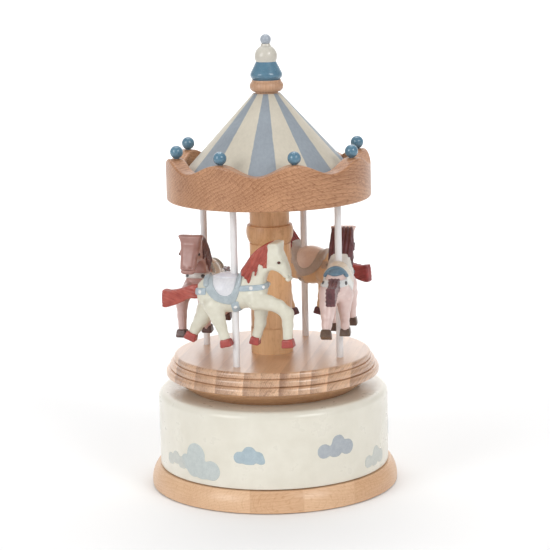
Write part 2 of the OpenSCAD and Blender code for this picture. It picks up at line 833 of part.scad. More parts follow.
foot_pads();
base_disc();
wind_flange();
wind_flange_screws();
winding_arbor();
base_felt_ring();
case_drum();
case_floor();
case_floor_screws();
floor_bush();
spacer_disc();
deck_bush();
felt_washer();
bedplate();
bedplate_screws();
comb();
comb_screws();
end_bracket();
end_bracket_screws();
governor_bracket();
governor_screws();
spring_barrel();
barrel_lid();
mainspring();
output_shaft();
turntable();
turntable_hub();
hub_screws();
column_lower();
column_upper();
column_rod();
column_nut();
pole_front();
pole_right();
pole_rear();
pole_left();
horse_front();
horse_right();
horse_rear();
horse_left();
roof_ring();
roof_board();
roof_cone();
crown_balls();
finial_dowel();
finial_wood_bead();
finial_blue_bead();
finial_cream_bead();
finial_tip_ball();
tune_cylinder();
tune_arbor();
tune_pinion();
tune_wheel();
governor_wheel();
governor_arbor();
worm();
fan();
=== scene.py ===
import math

import bpy
import numpy as np
from mathutils import Matrix, Vector


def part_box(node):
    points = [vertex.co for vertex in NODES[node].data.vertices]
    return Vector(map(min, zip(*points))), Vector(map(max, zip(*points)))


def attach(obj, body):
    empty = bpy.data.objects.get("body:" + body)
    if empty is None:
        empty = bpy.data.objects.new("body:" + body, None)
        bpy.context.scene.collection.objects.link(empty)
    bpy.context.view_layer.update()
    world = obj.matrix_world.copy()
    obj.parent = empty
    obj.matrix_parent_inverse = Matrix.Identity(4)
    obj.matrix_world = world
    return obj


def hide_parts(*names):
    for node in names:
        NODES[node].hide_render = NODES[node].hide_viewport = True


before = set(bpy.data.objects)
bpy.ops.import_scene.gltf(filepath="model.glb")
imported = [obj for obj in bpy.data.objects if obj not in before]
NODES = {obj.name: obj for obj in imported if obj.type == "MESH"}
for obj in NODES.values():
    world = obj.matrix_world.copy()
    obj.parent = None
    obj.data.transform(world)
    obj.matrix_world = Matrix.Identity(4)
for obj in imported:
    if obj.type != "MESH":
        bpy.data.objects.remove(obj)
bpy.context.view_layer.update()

MM = 0.001


def add_object(name, data):
    made = bpy.data.objects.new(name, data)
    bpy.context.scene.collection.objects.link(made)
    return made



# ---------------------------------------------------------------- colours


def srgb(red, green, blue):
    """A colour given by its 0-255 display values, as the linear values that shaders use."""
    linear = []
    for value in (red, green, blue):
        v = value / 255
        linear.append(v / 12.92 if v <= 0.04045 else ((v + 0.055) / 1.055) ** 2.4)
    return (*linear, 1.0)


# ---------------------------------------------------------------- shader building


class Shade:
    """A material being made: its principled shader, and the nodes that feed it."""

    def __init__(self, name, roughness=0.5, coat=0.0, coat_roughness=0.1, sheen=0.0,
                 metallic=0.0, specular=0.5):
        self.material = bpy.data.materials.new(name)
        self.material.use_nodes = True
        self.tree = self.material.node_tree
        self.shader = self.tree.nodes["Principled BSDF"]
        self.set("Roughness", roughness)
        self.set("Coat Weight", coat)
        self.set("Coat Roughness", coat_roughness)
        self.set("Sheen Weight", sheen)
        self.set("Metallic", metallic)
        self.set("Specular IOR Level", specular)

    def set(self, socket, value):
        self.feed(self.shader.inputs[socket], value)

    def feed(self, socket, value):
        if isinstance(value, bpy.types.NodeSocket):
            self.tree.links.new(value, socket)
        else:
            socket.default_value = value

    def node(self, kind, *inputs, **settings):
        made = self.tree.nodes.new(kind)
        for key, value in settings.items():
            setattr(made, key, value)
        for socket, value in zip(made.inputs, inputs):
            if value is not None:
                self.feed(socket, value)
        return made

    def math(self, operation, a, b=None, clamp=False):
        return self.node("ShaderNodeMath", a, b, operation=operation, use_clamp=clamp).outputs[0]

    def place(self):
        """The point being shaded, in millimetres, in the object's own frame."""
        at = self.node("ShaderNodeTexCoord").outputs["Object"]
        scale = self.node("ShaderNodeVectorMath", at, operation="SCALE")
        scale.inputs["Scale"].default_value = 1 / MM
        return scale.outputs[0]

    def stretch(self, at, along, across, layer):
        """A point's coordinates along three directions, each direction given with its scale."""
        parts = []
        for direction in (along, across, layer):
            dot = self.node("ShaderNodeVectorMath", at, tuple(direction), operation="DOT_PRODUCT")
            parts.append(dot.outputs["Value"])
        return self.node("ShaderNodeCombineXYZ", *parts).outputs[0]

    def noise(self, at, detail, scale=1.0, rough=0.5, distortion=0.0):
        made = self.node("ShaderNodeTexNoise")
        self.feed(made.inputs["Vector"], at)
        made.inputs["Scale"].default_value = scale
        made.inputs["Detail"].default_value = detail
        made.inputs["Roughness"].default_value = rough
        made.inputs["Distortion"].default_value = distortion
        return made.outputs["Fac"]

    def span(self, value, low, high, to_low=0.0, to_high=1.0):
        """value mapped from low..high to to_low..to_high, and held there outside."""
        made = self.node("ShaderNodeMapRange", value, low, high, to_low, to_high)
        made.clamp = True
        return made.outputs[0]

    def blend(self, share, a, b):
        """Colour a, mixed with colour b by share. A mix node's colours are its inputs 6 and 7."""
        made = self.node("ShaderNodeMix", data_type="RGBA")
        self.feed(made.inputs["Factor"], share)
        self.feed(made.inputs[6], a)
        self.feed(made.inputs[7], b)
        return made.outputs[2]

    def ramp(self, value, stops):
        made = self.node("ShaderNodeValToRGB", value)
        points = made.color_ramp.elements
        while len(points) < len(stops):
            points.new(1.0)
        for point, (at, colour) in zip(points, stops):
            point.position = at
            point.color = colour
        return made.outputs["Color"]

    def bump(self, height, distance, strength):
        """Relief of distance mm over the whole material."""
        made = self.node("ShaderNodeBump")
        made.inputs["Strength"].default_value = strength
        made.inputs["Distance"].default_value = distance * MM
        self.feed(made.inputs["Height"], height)
        self.set("Normal", made.outputs["Normal"])

    def edges(self, low=0.52, high=0.6):
        """Near 1 on sharp convex edges."""
        return self.span(self.node("ShaderNodeNewGeometry").outputs["Pointiness"], low, high)

    def hollows(self):
        """Near 1 in sharp hollows."""
        return self.span(self.node("ShaderNodeNewGeometry").outputs["Pointiness"], 0.48, 0.4)


def unit(vector):
    v = np.array(vector, float)
    return v / np.linalg.norm(v)


BOARD_JUMP = 37.0   # how far a board's grain is moved, in mm times its tone, so that no two match
TOP_SHEEN_SHARE = 0.33   # where the evened tone of the painted sheen on faces that look up lies between the pale and the deep one
WOOD_ROUGHNESS = 0.42


def wood(name, fibre, layer, pale, deep, pitch, contrast=1.0, coat=0.25, strips=None,
         strip_axis=None, gloss=1.5, soft=0.22, dark=0.45, even=0.0):
    """Beech. fibre is the direction of the grain, layer the normal of its growth layers, and pitch
    their spacing in mm. For glued boards, strips lists (edge in mm, (tone at that edge, tone at the
    next one)) across strip_axis. gloss and soft are the coat's refraction and roughness. dark is
    how much painted shade darkens the hollows, and even how much the tones are evened out on faces
    that look up, as a painted sheen."""
    g = Shade(name, roughness=WOOD_ROUGHNESS, coat=coat, coat_roughness=soft)
    g.set("Coat IOR", gloss)
    d = unit(fibre)
    n = unit(np.array(layer, float) - d * np.dot(d, unit(layer)))
    side = np.cross(n, d)
    at = g.place()
    shift = at
    tone = None
    if strips:
        axis = tuple(unit(strip_axis))
        across = g.node("ShaderNodeVectorMath", at, axis, operation="DOT_PRODUCT")
        reach = max(abs(edge) for edge, _ in strips) + 1.0
        place = g.span(across.outputs["Value"], -reach, reach)
        joint = 0.0005
        stops = []
        for edge, (start, end) in strips:
            here = (edge + reach) / (2 * reach)
            if stops:
                stops.append((here - joint, last_tone))
            stops.append((here + joint, (start, start, start, 1.0)))
            last_tone = (end, end, end, 1.0)
        stops.append((1.0, last_tone))
        tone = g.ramp(place, stops)
        index = g.math("MULTIPLY", tone, BOARD_JUMP)
        jump = g.node("ShaderNodeCombineXYZ", index, index, index).outputs[0]
        shift = g.node("ShaderNodeVectorMath", at, jump, operation="ADD").outputs[0]
    broad = g.noise(g.stretch(shift, d * 0.010, side * 0.05, n * 0.05), detail=2.0)
    warp = g.noise(g.stretch(shift, d * 0.02, side * 0.06, n * 0.10), detail=3.0)
    depth = g.node("ShaderNodeVectorMath", shift, tuple(n / pitch), operation="DOT_PRODUCT")
    phase = g.math("ADD", depth.outputs["Value"], g.math("MULTIPLY", warp, 5.0))
    ring = g.ramp(g.math("FRACT", phase),
                  [(0.0, (0.15, 0.15, 0.15, 1)), (0.62, (0.55, 0.55, 0.55, 1)),
                   (0.86, (1, 1, 1, 1)), (1.0, (0.15, 0.15, 0.15, 1))])
    fine = g.noise(g.stretch(shift, d * 0.10, side * 2.2, n * 3.2), detail=3.0, rough=0.6)
    pores = g.noise(g.stretch(shift, d * 0.55, side * 5.0, n * 3.5), detail=1.0)
    rays = g.noise(g.stretch(shift, d * 0.42, side * 3.4, n * 0.30), detail=1.0)
    fleck = g.span(rays, 0.57, 0.68)
    pit = g.span(pores, 0.60, 0.72)
    mix = g.math("MULTIPLY", ring, 0.34 * contrast)
    mix = g.math("ADD", mix, g.span(fine, 0.3, 0.7, -0.20 * contrast, 0.26 * contrast))
    mix = g.math("ADD", mix, g.span(broad, 0.3, 0.7, -0.22 * contrast, 0.22 * contrast))
    mix = g.math("ADD", mix, g.math("MULTIPLY", fleck, 0.30 * contrast))
    mix = g.math("ADD", mix, g.math("MULTIPLY", pit, 0.16 * contrast))
    mix = g.math("ADD", mix, 0.22, clamp=True)
    if tone is not None:
        mix = g.math("ADD", mix, g.span(tone, 0.0, 1.0, -0.5, 0.5), clamp=True)
    colour = g.blend(mix, srgb(*pale), srgb(*deep))
    # the edges are lightened: partly wear, partly a painted highlight
    edge_wear_and_highlight = srgb(*[min(255, c + 22) for c in pale])
    colour = g.blend(g.math("MULTIPLY", g.edges(0.53, 0.62), 0.35), colour, edge_wear_and_highlight)
    # painted sheen: faces that look up get their tones evened out towards a middle tone
    if even:
        facing = g.node("ShaderNodeNewGeometry").outputs["Normal"]
        up = g.node("ShaderNodeSeparateXYZ", facing).outputs[2]
        painted_sheen_tone = srgb(*[(1 - TOP_SHEEN_SHARE) * a + TOP_SHEEN_SHARE * b for a, b in zip(pale, deep)])
        colour = g.blend(g.span(up, 0.90, 0.99, 0.0, even), colour, painted_sheen_tone)
    shaded = srgb(*[c * 0.55 for c in deep])
    colour = g.blend(g.math("MULTIPLY", g.hollows(), dark), colour, shaded)
    g.set("Base Color", colour)
    g.set("Roughness", g.span(fine, 0.25, 0.75, WOOD_ROUGHNESS - 0.07, WOOD_ROUGHNESS + 0.10))
    relief = g.math("ADD", g.math("MULTIPLY", fine, 0.7), g.math("MULTIPLY", pit, -0.8))
    g.bump(relief, 0.05, 0.5)
    return g.material


SEED_JUMP = (13.0, 7.0, 3.0)   # mm that each step of a seed moves a paint's pattern
FADE_FROM, FADE_TO = 36.0, 22.0   # heights on a horse where its legs' colour starts and is full
FADE_SHARE = 0.85


def paint(name, body, second, roughness, scale, grain, coat=0.3, mottle=0.5, wear_and_highlight=0.3, hollow_shade=0.35,
          streak=None, seed=0.0, low=None):
    """Brushed or sprayed paint on wood: it drifts between two colours, it is lighter on edges,
    partly worn and partly a painted highlight, and it is darker in hollows, a painted shade. mottle
    and scale are how much and how finely it drifts, grain the depth of the brush marks in mm, and
    streak their direction. low is the colour that a horse's coat fades to down its legs."""
    g = Shade(name, roughness=roughness, coat=coat, coat_roughness=0.16)
    jump = tuple(seed * step for step in SEED_JUMP)
    at = g.node("ShaderNodeVectorMath", g.place(), jump, operation="ADD").outputs[0]
    if streak is not None:
        d = unit(streak)
        side = unit(np.cross(d, (0.3, 0.9, 0.2)))
        up = np.cross(d, side)
        strokes = g.noise(g.stretch(at, d * 0.12, side * 1.5, up * 1.5), detail=3.0, rough=0.6)
    else:
        strokes = g.noise(at, scale=scale * 4, detail=4.0, rough=0.6)
    clouds = g.noise(at, scale=scale, detail=3.0)
    mix = g.span(clouds, 0.3, 0.7, 0.0, mottle)
    mix = g.math("ADD", mix, g.span(strokes, 0.3, 0.75, -0.25 * mottle, 0.45 * mottle), clamp=True)
    colour = g.blend(mix, srgb(*body), srgb(*second))
    if low:
        height = g.node("ShaderNodeSeparateXYZ", g.place()).outputs[2]
        colour = g.blend(g.span(height, FADE_TO, FADE_FROM, FADE_SHARE, 0.0), colour, srgb(*low))
    # the edges are lightened: partly wear, partly a painted highlight
    edge_wear_and_highlight = g.math("MULTIPLY", g.edges(), g.span(strokes, 0.35, 0.6, 0.2, wear_and_highlight))
    light = [min(255, c * 1.08 + 8) for c in body]
    colour = g.blend(edge_wear_and_highlight, colour, srgb(*light))
    # painted shade: the hollows are darkened towards half the body colour
    colour = g.blend(g.math("MULTIPLY", g.hollows(), hollow_shade), colour, srgb(*[c * 0.5 for c in body]))
    g.set("Base Color", colour)
    g.set("Roughness", g.span(strokes, 0.3, 0.7, roughness - 0.06, roughness + 0.10))
    fine = g.noise(at, scale=scale * 9, detail=2.0)
    g.bump(g.math("ADD", strokes, g.math("MULTIPLY", fine, 0.4)), grain, 0.6)
    return g.material


def metal(name, tone, roughness, lay=(1.0, 0.0, 0.0)):
    """Turned or rolled metal with fine tool marks along lay, and a little tarnish."""
    g = Shade(name, roughness=roughness, metallic=1.0)
    at = g.place()
    d = unit(lay)
    side = unit(np.cross(d, (0.31, 0.52, 0.79)))
    marks = g.noise(g.stretch(at, d * 0.3, side * 9.0, np.cross(d, side) * 9.0), detail=2.0)
    tarnish = g.noise(at, scale=0.22, detail=4.0)
    dull = srgb(*[c * 0.68 for c in tone])
    colour = g.blend(g.span(tarnish, 0.42, 0.7, 0.0, 0.6), srgb(*tone), dull)
    g.set("Base Color", colour)
    g.set("Roughness", g.span(marks, 0.3, 0.7, roughness - 0.08, roughness + 0.14))
    g.bump(marks, 0.01, 0.5)
    return g.material


def felt(name, tone):
    """Pressed wool: matt, fuzzy and uneven."""
    g = Shade(name, roughness=0.95, sheen=0.5, specular=0.2)
    at = g.place()
    hair = g.noise(at, scale=2.6, detail=5.0, rough=0.7, distortion=1.4)
    lumps = g.noise(at, scale=0.5, detail=2.0)
    mix = g.math("ADD", g.span(hair, 0.3, 0.7, 0.0, 0.7), g.span(lumps, 0.3, 0.7, 0.0, 0.3))
    g.set("Base Color", g.blend(mix, srgb(*[c * 0.62 for c in tone]), srgb(*tone)))
    g.bump(hair, 0.12, 0.8)
    return g.material


def stripes(name, count, first, blue_share, blue, cream):
    """Painted stripes that run up the cone: count pairs round the axis, blue_share of each blue,
    the first starting at an azimuth in degrees, measured from the front towards +X. The left ones
    are painted a little wider."""
    g = Shade(name, roughness=0.42, coat=0.15, coat_roughness=0.3)
    at = g.place()
    split = g.node("ShaderNodeSeparateXYZ", at).outputs
    turn = g.math("ARCTAN2", split[0], g.math("MULTIPLY", split[1], -1.0))
    wobble = g.span(g.noise(at, scale=0.35, detail=2.0), 0.0, 1.0, -0.012, 0.012)
    turn = g.math("ADD", turn, wobble)
    wide_from, wide_to, widening = (math.radians(angle) for angle in (-80, -20, 8))
    turn = g.math("ADD", turn, g.span(turn, wide_from, wide_to, widening, 0.0))
    share = g.math("MULTIPLY", g.math("SUBTRACT", turn, math.radians(first)), count / math.tau)
    share = g.math("FRACT", g.math("ADD", share, 4.0 * count))
    blur = 0.012
    rise = g.span(share, 0.0, blur)
    fall = g.span(share, blue_share, blue_share + blur, 1.0, 0.0)
    is_blue = g.math("MULTIPLY", rise, fall)
    strokes = g.noise(g.stretch(at, (0.9, 0, 0), (0, 0.9, 0), (0, 0, 0.10)), detail=4.0, rough=0.6)
    drift = g.noise(at, scale=0.09, detail=3.0)
    mix = g.math("ADD", g.span(strokes, 0.3, 0.7, 0.0, 0.5), g.span(drift, 0.3, 0.7, 0.0, 0.5))
    blue_tone = g.blend(mix, srgb(*blue), srgb(*[c * 0.90 for c in blue]))
    cream_tone = g.blend(mix, srgb(*cream), srgb(*[c * 0.93 for c in cream]))
    colour = g.blend(is_blue, cream_tone, blue_tone)
    g.set("Base Color", colour)
    g.set("Roughness", g.span(strokes, 0.3, 0.7, 0.36, 0.52))
    g.bump(g.math("ADD", strokes, g.math("MULTIPLY", is_blue, 0.8)), 0.04, 0.5)
    return g.material


# ---------------------------------------------------------------- meshes from distance fields


def smooth_min(a, b, k):
    """The lower of two fields, rounded where they meet over a width of about k."""
    h = np.maximum(k - np.abs(a - b), 0.0)
    return np.minimum(a, b) - h * h / (4 * k)


def smooth_max(a, b, k):
    return -smooth_min(-a, -b, k)


class Grid:
    """Sample points of a box, in mm, with the fields that shapes make over them."""

    def __init__(self, low, high, step):
        self.low = np.array(low, float)
        self.step = np.array(step, float) * np.ones(3)
        counts = [int(math.ceil((b - a) / s)) + 1 for a, b, s in zip(low, high, self.step)]
        self.axes = [a + s * np.arange(n) for a, s, n in zip(self.low, self.step, counts)]
        self.x, self.y, self.z = np.meshgrid(*self.axes, indexing="ij", sparse=True)

    def limb(self, points, flat, k=1.0):
        """Round bars through (x, y, z, radius) points, thinner across by flat, blended over k."""
        made = None
        for a, b in zip(points[:-1], points[1:]):
            ax, ay, az, ra = a
            dx, dy, dz = b[0] - ax, (b[1] - ay) * flat, b[2] - az
            px, py, pz = self.x - ax, (self.y - ay) * flat, self.z - az
            long = dx * dx + dy * dy + dz * dz
            t = np.clip((px * dx + py * dy + pz * dz) / long, 0.0, 1.0)
            gap = np.sqrt((px - t * dx) ** 2 + (py - t * dy) ** 2 + (pz - t * dz) ** 2)
            piece = gap - (ra + t * (b[3] - ra))
            made = piece if made is None else smooth_min(made, piece, k)
        return made

    def ball(self, centre, radii):
        """An ellipsoid."""
        rx, ry, rz = radii
        gap = np.sqrt(((self.x - centre[0]) / rx) ** 2 + ((self.y - centre[1]) / ry) ** 2
                      + ((self.z - centre[2]) / rz) ** 2)
        return (gap - 1.0) * min(radii)

    def box(self, centre, half, tilt, round_by, taper):
        """A rounded box, turned about Y by tilt degrees, and narrower at its top by taper."""
        c, s = math.cos(math.radians(tilt)), math.sin(math.radians(tilt))
        px, py, pz = self.x - centre[0], self.y - centre[1], self.z - centre[2]
        qx, qz = c * px + s * pz, c * pz - s * px
        grow = 1.0 - taper * qz / half[2]
        dx = np.abs(qx) - half[0] * grow + round_by
        dy = np.abs(py) - half[1] * grow + round_by
        dz = np.abs(qz) - half[2] + round_by
        outside = np.sqrt(np.maximum(dx, 0) ** 2 + np.maximum(dy, 0) ** 2 + np.maximum(dz, 0) ** 2)
        return outside + np.minimum(np.maximum(np.maximum(dx, dy), dz), 0.0) - round_by

    def flat_field(self, outline, smooth=True):
        """Distance to an outline in the x, z plane, negative inside, as a field without y."""
        points = rounded(outline) if smooth else np.array(outline, float)
        x, z = self.axes[0][:, None], self.axes[2][None, :]
        nearest = np.full((len(self.axes[0]), len(self.axes[2])), 1e9)
        inside = np.zeros(nearest.shape, bool)
        for (ax, az), (bx, bz) in zip(points, np.roll(points, -1, axis=0)):
            dx, dz = bx - ax, bz - az
            t = np.clip(((x - ax) * dx + (z - az) * dz) / max(dx * dx + dz * dz, 1e-9), 0.0, 1.0)
            nearest = np.minimum(nearest, np.hypot(x - ax - t * dx, z - az - t * dz))
            crosses = (az > z) != (bz > z)
            if az != bz:
                inside ^= crosses & (x < dx * (z - az) / dz + ax)
        return np.where(inside, -nearest, nearest)[:, None, :]

    def slab(self, outline, half, round_by, smooth=True):
        """An outline in the x, z plane made thick, with rounded edges. half may vary by place."""
        dx = self.flat_field(outline, smooth) + round_by
        dy = np.abs(self.y) - half + round_by
        outside = np.sqrt(np.maximum(dx, 0) ** 2 + np.maximum(dy, 0) ** 2)
        return outside + np.minimum(np.maximum(dx, dy), 0.0) - round_by

    def even(self, field):
        """The field divided by its slope, so that its values are near true distances."""
        slopes = np.gradient(field, *self.step)
        return field / np.maximum(np.sqrt(sum(s * s for s in slopes)), 0.25)

    def skin(self, field):
        """The surface where a field is 0: its points in mm, and its four-cornered faces. Each cell
        that the surface crosses gets one point, at the mean of the crossings on its edges, and each
        crossed grid edge gets one face between the four cells round it."""
        field = np.broadcast_to(field, [len(a) for a in self.axes]).astype(float)
        inside = field < 0
        cells = tuple(n - 1 for n in field.shape)
        total = np.zeros((*cells, 3))
        count = np.zeros(cells, int)
        for axis in range(3):
            head = [slice(None)] * 3
            tail = [slice(None)] * 3
            head[axis], tail[axis] = slice(0, -1), slice(1, None)
            a, b = field[tuple(head)], field[tuple(tail)]
            crossing = (a < 0) != (b < 0)
            share = np.where(crossing, a / np.where(crossing, a - b, 1.0), 0.0)
            others = [i for i in range(3) if i != axis]
            for i in (0, 1):
                for j in (0, 1):
                    cut = [slice(None)] * 3
                    cut[others[0]] = slice(i, i + cells[others[0]])
                    cut[others[1]] = slice(j, j + cells[others[1]])
                    here, along = crossing[tuple(cut)], share[tuple(cut)]
                    count += here
                    total[..., axis] += along
                    total[..., others[0]] += i * here
                    total[..., others[1]] += j * here
        used = count > 0
        index = np.full(cells, -1)
        index[used] = np.arange(used.sum())
        corner = np.argwhere(used)
        points = self.low + (corner + total[used] / count[used][:, None]) * self.step
        faces = []
        for axis in range(3):
            b, c = (axis + 1) % 3, (axis + 2) % 3
            head = [slice(1, -1)] * 3
            tail = [slice(1, -1)] * 3
            head[axis], tail[axis] = slice(0, -1), slice(1, None)
            start, end = inside[tuple(head)], inside[tuple(tail)]
            for flip, found in ((False, start & ~end), (True, end & ~start)):
                at = np.argwhere(found)
                at[:, b] += 1
                at[:, c] += 1
                ring = []
                for i, j in ((0, 0), (-1, 0), (-1, -1), (0, -1)):
                    near = at.copy()
                    near[:, b] += i
                    near[:, c] += j
                    ring.append(index[tuple(near.T)])
                quad = np.stack(ring, axis=1)
                faces.append(quad[:, ::-1] if flip else quad)
        return points, np.concatenate(faces)


CURVE_STEPS = 5


def rounded(outline):
    """A closed smooth curve (Catmull-Rom) through the points of an outline."""
    p = np.array(outline, float)
    a, b, c, d = (np.roll(p, k, axis=0) for k in (1, 0, -1, -2))
    t = (np.arange(CURVE_STEPS) / CURVE_STEPS)[:, None, None]
    curve = 0.5 * (2 * b + (c - a) * t + (2 * a - 5 * b + 4 * c - d) * t ** 2
                   + (3 * b - a - 3 * c + d) * t ** 3)
    return curve.transpose(1, 0, 2).reshape(-1, 2)


def mesh_object(name, points, faces, material):
    """A smooth-shaded mesh object from points in mm and faces."""
    mesh = bpy.data.meshes.new(name)
    mesh.from_pydata((np.asarray(points, float) * MM).tolist(), [], np.asarray(faces).tolist())
    mesh.validate()
    mesh.update()
    mesh.shade_smooth()
    mesh.materials.append(material)
    return add_object(name, mesh)


# ---------------------------------------------------------------- carved horses
# A horse faces +X, with its pole on the Z axis. Its heights are above the turntable's top, in mm.
# Outlines are (x, z) points, legs are bars of (x, y, z, radius) points, and hooves are boxes given
# by (x, y, z, half length, half height, tilt in degrees).

CARVING_STEP = 0.4
HAIR_STEP = 0.3
BLANKET = [(-12.2, 48), (-12.0, 40), (-11.7, 35.7), (-11.2, 33.6), (-9.1, 31.4), (-5.5, 29.4),
           (-1.0, 28.4), (1.5, 29.2), (3.1, 32.3), (4.1, 35.8), (4.8, 41.5), (4.8, 48)]
PATCH = [(-9.2, 48), (-9.0, 40.6), (-8.6, 38.4), (-7.6, 35.8), (-5.8, 33.5), (-3.8, 32.4),
         (-0.7, 32.5), (1.2, 34.9), (2.0, 38.4), (1.7, 41.4), (1.4, 48)]
HEAD = [(16.8, 54.8), (18.8, 55.3), (20.9, 55.0), (21.3, 52.0), (22.2, 50.0), (23.5, 46.8),
        (24.5, 44.0), (25.4, 40.6), (25.2, 38.9), (23.9, 38.8), (22.1, 41.2), (19.8, 42.9),
        (17.4, 43.4), (15.0, 41.8), (13.7, 38.5), (13.8, 34.0), (10.0, 29.5), (3.5, 32.0),
        (4.2, 40.8), (8.6, 47.2), (12.8, 51.8)]
MANE = [(4.1, 42.2), (6.3, 45.8), (9.2, 49.8), (11.9, 52.4), (14.3, 54.0), (16.5, 54.9),
        (18.0, 54.8), (17.4, 53.2), (16.7, 50.8), (16.3, 47.6), (16.2, 44.4), (14.4, 44.6),
        (12.9, 45.9), (12.0, 43.6), (10.9, 40.5), (9.8, 42.9), (8.3, 36.9), (6.4, 39.3)]
TAIL = [(-16.0, 35.0), (-18.4, 35.2), (-21.1, 34.6), (-25.3, 33.2), (-29.0, 32.5), (-32.0, 32.8),
        (-32.8, 31.6), (-32.9, 26.3), (-32.1, 25.1), (-28.7, 25.8), (-24.1, 27.7), (-20.8, 29.4),
        (-16.0, 30.2)]
NEAR, FAR = -3.1, 3.1
LEGS = [
    [(11.2, FAR, 27.5, 3.6), (10.5, FAR, 23.5, 2.8), (10.1, FAR, 19.0, 2.45),
     (8.7, FAR, 14.2, 1.95), (8.0, FAR, 11.8, 1.9)],
    [(10.5, NEAR, 30.2, 4.4), (16.0, NEAR, 29.4, 3.2), (20.5, NEAR, 28.0, 2.8),
     (24.2, NEAR, 25.0, 2.8), (24.4, NEAR, 20.0, 2.25), (24.1, NEAR, 12.8, 2.0)],
    [(-8.5, NEAR, 27.0, 4.8), (-6.9, NEAR, 21.6, 3.1), (-5.5, NEAR, 18.0, 2.35),
     (-4.3, NEAR, 14.0, 2.05), (-3.7, NEAR, 11.8, 2.0)],
    [(-12.0, FAR, 29.0, 4.8), (-14.4, FAR, 23.5, 4.1), (-16.5, FAR, 19.8, 3.2),
     (-19.1, FAR, 15.9, 2.4), (-20.7, FAR, 13.2, 2.05)],
]
HOOVES = [(7.7, FAR, 11.4, 2.05, 1.75, -11), (24.4, NEAR, 12.2, 2.5, 1.85, 6),
          (-3.4, NEAR, 11.1, 2.4, 1.7, 13), (-21.5, FAR, 12.0, 2.5, 1.8, -22)]
CROWN = HEAD[0:3] + [(21.2, 53.0), (20.8, 50.5), (16.8, 50.5)]
MOUTH = [(22.8, 40.3), (26.5, 40.7), (26.5, 40.4), (22.8, 40.0)]


def carve_horse():
    """A horse's body and hooves as {name: (points, faces)} in mm, with the grid that they were made
    on and the body's field, which is made even, for the tack to lie on."""
    g = Grid((-26, -8, 8.1), (28, 8, 57.5), CARVING_STEP)
    trunk = g.limb([(-10.4, 0, 32.2, 7.0), (-3, 0, 32.6, 8.1), (7.6, 0, 33.4, 6.7)], 1.38, 2.0)
    ears_wide = 1.3 * np.clip((g.z - 52.0) / 3.0, 0, 1) ** 1.5
    nose_narrow = 0.9 * np.clip((g.x - 19) / 6, 0, 1)
    neck_wide = 0.7 * np.clip((38 - g.z) / 7, 0, 1)
    half = 4.5 + ears_wide - nose_narrow + neck_wide
    head = g.slab(HEAD, half, 2.0)
    crown = g.slab(CROWN, half, 0.5, smooth=False)
    between_ears = g.ball((18.8, 0, 56.5), (7, 2.4, 1.7))
    head = smooth_min(head, smooth_max(crown, -between_ears, 0.6), 0.6)
    cheeks = np.minimum(g.ball((21.0, 8.0, 43.2), (2.6, 3.9, 5.0)),
                        g.ball((21.0, -8.0, 43.2), (2.6, 3.9, 5.0)))
    head = smooth_max(head, -cheeks, 1.5)
    for side in (-1, 1):
        nostril = g.ball((25.0, side * 1.9, 41.4), (0.6, 0.8, 0.5))
        brow = g.ball((21.4, side * 4.0, 47.7), (1.3, 0.5, 0.9))
        head = smooth_min(smooth_max(head, -nostril, 0.5), brow, 0.6)
    lips = g.slab(MOUTH, 6.0, 0.1, smooth=False)
    head = smooth_max(head, -lips, 0.6)
    body = smooth_min(trunk, head, 2.2)
    for points in LEGS:
        body = smooth_min(body, g.limb(points, 1.15), 1.4)
    even = g.even(body)
    hoof = None
    for x, y, z, half_long, half_high, tilt in HOOVES:
        block = g.box((x, y, z), (half_long, 2.3, half_high), tilt, 0.6, 0.10)
        hoof = block if hoof is None else np.minimum(hoof, block)
    body = smooth_max(body, -(hoof + 0.25), 0.3)
    return {"body": g.skin(body), "hooves": g.skin(hoof)}, g, even


ARCHES = [  # part, its middle in x at a height of 38, lean, half width, how far it stands out
    ("pommel", 3.3, 0.10, 1.15, 1.2),
    ("cantle", -11.7, -0.12, 1.25, 1.3),
]


def shell(even, proud, sunk, k):
    """A layer on a surface, proud mm out of it and sunk mm into it, with edges rounded by k."""
    return smooth_max(even - proud, -(even + sunk), k)


